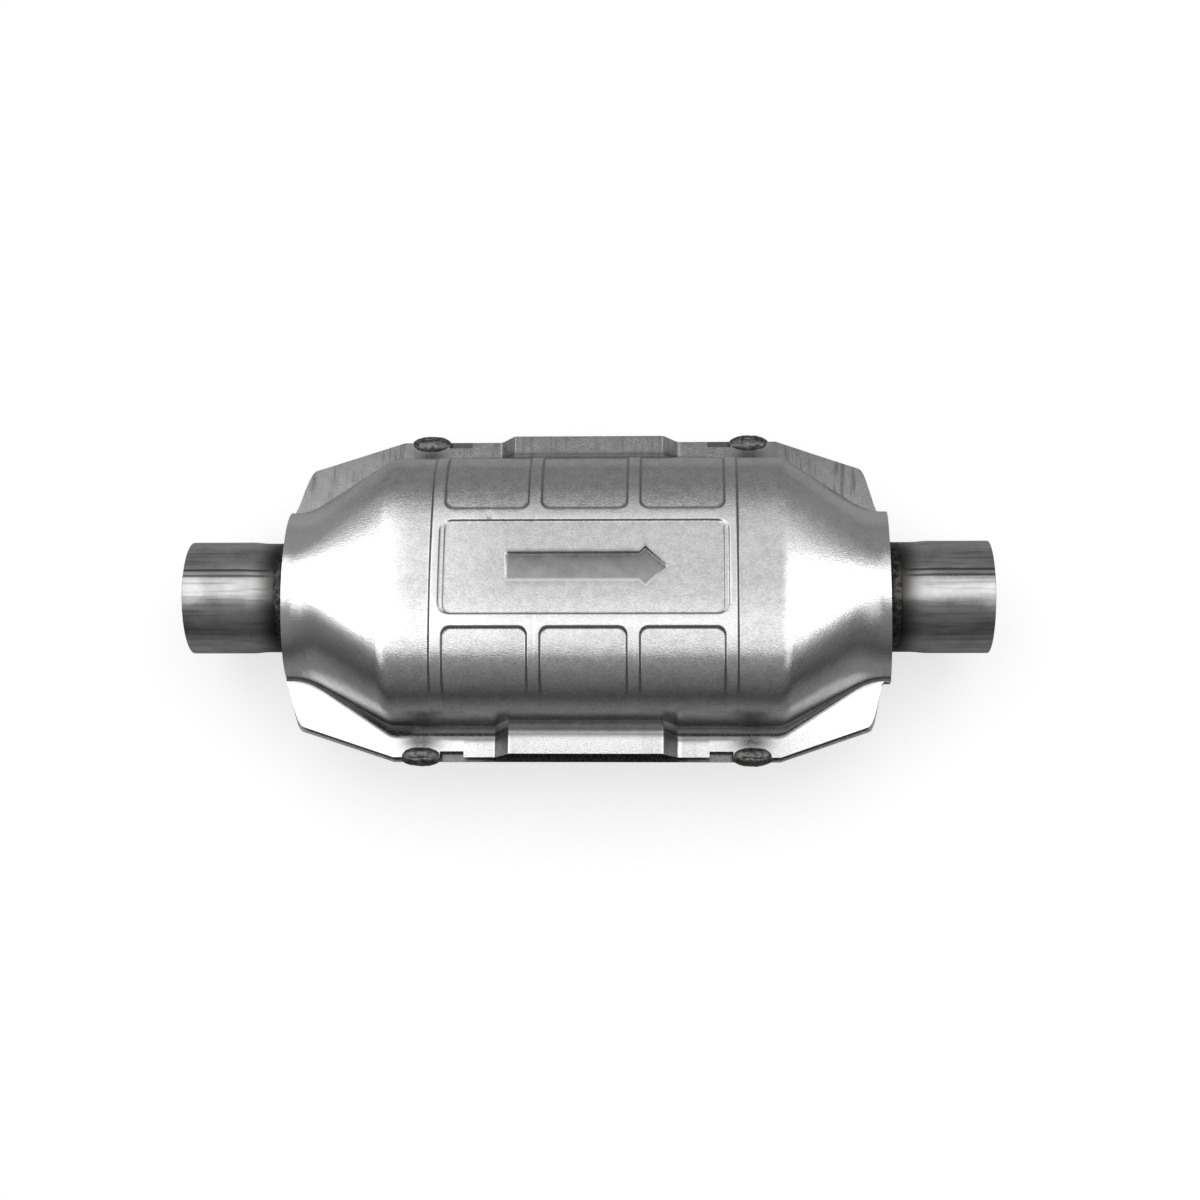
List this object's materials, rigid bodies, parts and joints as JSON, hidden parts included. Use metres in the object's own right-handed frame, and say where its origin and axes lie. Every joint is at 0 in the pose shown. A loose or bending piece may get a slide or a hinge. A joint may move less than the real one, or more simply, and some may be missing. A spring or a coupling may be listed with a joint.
{
  "type": "catalytic converter",
  "caption": "Oval exhaust catalytic converter in a stamped clamshell heat shield with raised ribs and a flow arrow, with a plain pipe stub at each end.",
  "frame": {"origin": "on the exhaust axis, half way between the two pipe rims, level with the flange joint", "axes": "+X along the exhaust axis towards the outlet, the way the arrow points; +Z out of the upper shield's crown; +Y towards the left flange"},
  "size_m": [0.4064, 0.1764, 0.1106],
  "materials": {
    "aluminised_shield": "satin aluminised steel sheet, faintly mottled, with rolled grain along the pipe axis",
    "stainless_can": "dull ferritic stainless sheet",
    "stub_tube": "drawn stainless tube, fairly glossy, with a seam line and heat tint beside the weld",
    "weld_bead": "dark oxidised weld bead with ripples",
    "honeycomb_ceramic": "washcoated honeycomb, matt",
    "fibre_mat": "intumescent fibre mat",
    "knitted_seal": "knitted steel wire, compressed"
  },
  "bodies": {
    "root": {"upper_heat_shield": "aluminised_shield", "lower_heat_shield": "aluminised_shield", "can_upper_half": "stainless_can", "can_lower_half": "stainless_can", "left_seam_weld": "weld_bead", "right_seam_weld": "weld_bead", "inlet_pipe": "stub_tube", "outlet_pipe": "stub_tube", "inlet_ring_weld": "weld_bead", "outlet_ring_weld": "weld_bead", "tack_weld_front_left": "weld_bead", "tack_weld_front_right": "weld_bead", "tack_weld_rear_left": "weld_bead", "tack_weld_rear_right": "weld_bead", "front_substrate": "honeycomb_ceramic", "rear_substrate": "honeycomb_ceramic", "front_mat": "fibre_mat", "rear_mat": "fibre_mat", "front_inlet_side_seal": "knitted_seal", "front_outlet_side_seal": "knitted_seal", "rear_inlet_side_seal": "knitted_seal", "rear_outlet_side_seal": "knitted_seal"}
  },
  "joints": []
}
